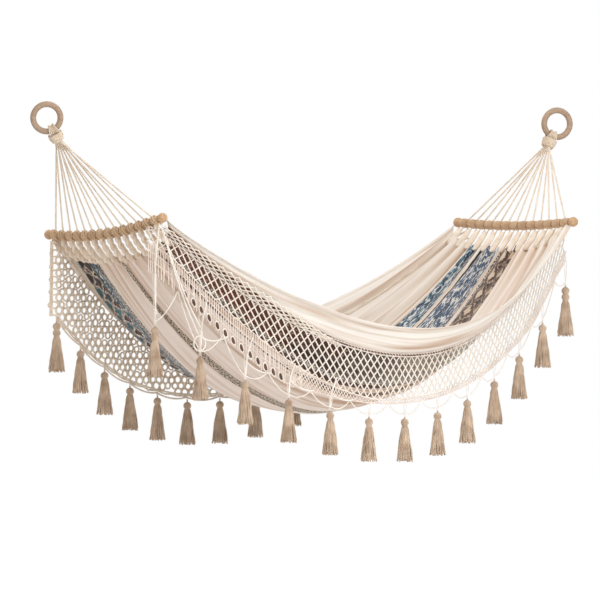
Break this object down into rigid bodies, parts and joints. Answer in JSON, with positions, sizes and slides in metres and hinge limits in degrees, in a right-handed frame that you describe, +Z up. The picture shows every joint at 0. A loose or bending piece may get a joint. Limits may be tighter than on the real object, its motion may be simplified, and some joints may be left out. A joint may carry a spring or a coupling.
{
  "type": "hammock",
  "caption": "Spreader-bar hammock: woven cloth bed between wooden rings, with cord clews, lace side curtains and tassels.",
  "frame": {"origin": "centre of the left ring, where it hangs on its hook", "axes": "+X runs along the hammock to the right ring, -Y is the near side, +Z is up"},
  "size_m": [2.2992, 1.404, 1.2905],
  "materials": {
    "ring_wood": "turned beech, oiled",
    "bar_wood": "turned beech, satin",
    "lashing_cord": "whipped cotton cord",
    "clew_cord": "twisted cotton cord",
    "hitch_cord": "wound cotton cord",
    "loop_cotton": "twisted cotton loops",
    "bed_cotton": "woven cotton with patterned stripes",
    "net_lace": "knotted cotton net with crochet borders",
    "crochet_lace": "crocheted cotton",
    "tassel_cotton": "combed cotton strands"
  },
  "bodies": {
    "rings": {"ring_left": "ring_wood", "ring_right": "ring_wood"},
    "hammock": {"lashing_left": "lashing_cord", "lashing_right": "lashing_cord", "clew_cords_left": "clew_cord", "clew_cords_right": "clew_cord", "spreader_bar_left": "bar_wood", "spreader_bar_right": "bar_wood", "bar_balls_left": "bar_wood", "bar_balls_right": "bar_wood", "bar_hitches_left": "hitch_cord", "bar_hitches_right": "hitch_cord", "end_loops_left": "loop_cotton", "end_loops_right": "loop_cotton", "bed_cloth": "bed_cotton", "lace_near": "net_lace", "lace_far": "crochet_lace", "tassel_hangers_near": "net_lace", "tassel_hangers_far": "crochet_lace"},
    "tassel_near_01": {"tassel_near_01": "tassel_cotton"},
    "tassel_near_02": {"tassel_near_02": "tassel_cotton"},
    "tassel_near_03": {"tassel_near_03": "tassel_cotton"},
    "tassel_near_04": {"tassel_near_04": "tassel_cotton"},
    "tassel_near_05": {"tassel_near_05": "tassel_cotton"},
    "tassel_near_06": {"tassel_near_06": "tassel_cotton"},
    "tassel_near_07": {"tassel_near_07": "tassel_cotton"},
    "tassel_near_08": {"tassel_near_08": "tassel_cotton"},
    "tassel_near_09": {"tassel_near_09": "tassel_cotton"},
    "tassel_near_10": {"tassel_near_10": "tassel_cotton"},
    "tassel_near_11": {"tassel_near_11": "tassel_cotton"},
    "tassel_near_12": {"tassel_near_12": "tassel_cotton"},
    "tassel_near_13": {"tassel_near_13": "tassel_cotton"},
    "tassel_far_01": {"tassel_far_01": "tassel_cotton"},
    "tassel_far_02": {"tassel_far_02": "tassel_cotton"},
    "tassel_far_03": {"tassel_far_03": "tassel_cotton"},
    "tassel_far_04": {"tassel_far_04": "tassel_cotton"},
    "tassel_far_05": {"tassel_far_05": "tassel_cotton"},
    "tassel_far_06": {"tassel_far_06": "tassel_cotton"},
    "tassel_far_07": {"tassel_far_07": "tassel_cotton"},
    "tassel_far_08": {"tassel_far_08": "tassel_cotton"},
    "tassel_far_09": {"tassel_far_09": "tassel_cotton"},
    "tassel_far_10": {"tassel_far_10": "tassel_cotton"},
    "tassel_far_11": {"tassel_far_11": "tassel_cotton"},
    "tassel_far_12": {"tassel_far_12": "tassel_cotton"},
    "tassel_far_13": {"tassel_far_13": "tassel_cotton"}
  },
  "joints": [
    {"name": "side_sway", "type": "hinge", "parent": "rings", "child": "hammock", "pos_m": [0.01841, -0.01196, -0.04353], "axis": [0.9999, 0.0082, -0.0059], "range_deg": [-20, 20]},
    {"name": "tassel_near_01_swing", "type": "hinge", "parent": "hammock", "child": "tassel_near_01", "pos_m": [0.249, -0.32716, -0.74498], "axis": [0.921, -0.3896, 0], "range_deg": [-60, 60]},
    {"name": "tassel_near_02_swing", "type": "hinge", "parent": "hammock", "child": "tassel_near_02", "pos_m": [0.39567, -0.39795, -0.85107], "axis": [0.8967, -0.4426, 0], "range_deg": [-60, 60]},
    {"name": "tassel_near_03_swing", "type": "hinge", "parent": "hammock", "child": "tassel_near_03", "pos_m": [0.54233, -0.46719, -0.93691], "axis": [0.9145, -0.4047, 0], "range_deg": [-60, 60]},
    {"name": "tassel_near_04_swing", "type": "hinge", "parent": "hammock", "child": "tassel_near_04", "pos_m": [0.689, -0.52665, -1.00227], "axis": [0.9405, -0.3398, 0], "range_deg": [-60, 60]},
    {"name": "tassel_near_05_swing", "type": "hinge", "parent": "hammock", "child": "tassel_near_05", "pos_m": [0.83567, -0.57228, -1.04677], "axis": [0.9689, -0.2476, 0], "range_deg": [-60, 60]},
    {"name": "tassel_near_06_swing", "type": "hinge", "parent": "hammock", "child": "tassel_near_06", "pos_m": [0.98233, -0.60096, -1.06989], "axis": [0.9914, -0.1311, 0], "range_deg": [-60, 60]},
    {"name": "tassel_near_07_swing", "type": "hinge", "parent": "hammock", "child": "tassel_near_07", "pos_m": [1.129, -0.61074, -1.0711], "axis": [1, 0, 0], "range_deg": [-60, 60]},
    {"name": "tassel_near_08_swing", "type": "hinge", "parent": "hammock", "child": "tassel_near_08", "pos_m": [1.27567, -0.60096, -1.04991], "axis": [0.9914, 0.1311, 0], "range_deg": [-60, 60]},
    {"name": "tassel_near_09_swing", "type": "hinge", "parent": "hammock", "child": "tassel_near_09", "pos_m": [1.42233, -0.57228, -1.00598], "axis": [0.9689, 0.2476, 0], "range_deg": [-60, 60]},
    {"name": "tassel_near_10_swing", "type": "hinge", "parent": "hammock", "child": "tassel_near_10", "pos_m": [1.569, -0.52665, -0.93906], "axis": [0.9405, 0.3398, 0], "range_deg": [-60, 60]},
    {"name": "tassel_near_11_swing", "type": "hinge", "parent": "hammock", "child": "tassel_near_11", "pos_m": [1.71567, -0.46719, -0.84912], "axis": [0.9145, 0.4047, 0], "range_deg": [-60, 60]},
    {"name": "tassel_near_12_swing", "type": "hinge", "parent": "hammock", "child": "tassel_near_12", "pos_m": [1.86233, -0.39795, -0.73623], "axis": [0.8967, 0.4426, 0], "range_deg": [-60, 60]},
    {"name": "tassel_near_13_swing", "type": "hinge", "parent": "hammock", "child": "tassel_near_13", "pos_m": [2.009, -0.32716, -0.6006], "axis": [0.921, 0.3896, 0], "range_deg": [-60, 60]},
    {"name": "tassel_far_01_swing", "type": "hinge", "parent": "hammock", "child": "tassel_far_01", "pos_m": [0.249, 0.32716, -0.72922], "axis": [0.921, 0.3896, 0], "range_deg": [-60, 60]},
    {"name": "tassel_far_02_swing", "type": "hinge", "parent": "hammock", "child": "tassel_far_02", "pos_m": [0.39567, 0.39795, -0.82848], "axis": [0.8967, 0.4426, 0], "range_deg": [-60, 60]},
    {"name": "tassel_far_03_swing", "type": "hinge", "parent": "hammock", "child": "tassel_far_03", "pos_m": [0.54233, 0.46719, -0.90652], "axis": [0.9145, 0.4047, 0], "range_deg": [-60, 60]},
    {"name": "tassel_far_04_swing", "type": "hinge", "parent": "hammock", "child": "tassel_far_04", "pos_m": [0.689, 0.52665, -0.96355], "axis": [0.9405, 0.3398, 0], "range_deg": [-60, 60]},
    {"name": "tassel_far_05_swing", "type": "hinge", "parent": "hammock", "child": "tassel_far_05", "pos_m": [0.83567, 0.57228, -0.99998], "axis": [0.9689, 0.2476, 0], "range_deg": [-60, 60]},
    {"name": "tassel_far_06_swing", "type": "hinge", "parent": "hammock", "child": "tassel_far_06", "pos_m": [0.98233, 0.60096, -1.01632], "axis": [0.9914, 0.1311, 0], "range_deg": [-60, 60]},
    {"name": "tassel_far_07_swing", "type": "hinge", "parent": "hammock", "child": "tassel_far_07", "pos_m": [1.129, 0.61074, -1.0131], "axis": [1, 0, 0], "range_deg": [-60, 60]},
    {"name": "tassel_far_08_swing", "type": "hinge", "parent": "hammock", "child": "tassel_far_08", "pos_m": [1.27567, 0.60096, -0.9908], "axis": [0.9914, -0.1311, 0], "range_deg": [-60, 60]},
    {"name": "tassel_far_09_swing", "type": "hinge", "parent": "hammock", "child": "tassel_far_09", "pos_m": [1.42233, 0.57228, -0.94978], "axis": [0.9689, -0.2476, 0], "range_deg": [-60, 60]},
    {"name": "tassel_far_10_swing", "type": "hinge", "parent": "hammock", "child": "tassel_far_10", "pos_m": [1.569, 0.52665, -0.89026], "axis": [0.9405, -0.3398, 0], "range_deg": [-60, 60]},
    {"name": "tassel_far_11_swing", "type": "hinge", "parent": "hammock", "child": "tassel_far_11", "pos_m": [1.71567, 0.46719, -0.8123], "axis": [0.9145, -0.4047, 0], "range_deg": [-60, 60]},
    {"name": "tassel_far_12_swing", "type": "hinge", "parent": "hammock", "child": "tassel_far_12", "pos_m": [1.86233, 0.39795, -0.71582], "axis": [0.8967, -0.4426, 0], "range_deg": [-60, 60]},
    {"name": "tassel_far_13_swing", "type": "hinge", "parent": "hammock", "child": "tassel_far_13", "pos_m": [2.009, 0.32716, -0.6006], "axis": [0.921, -0.3896, 0], "range_deg": [-60, 60]}
  ]
}
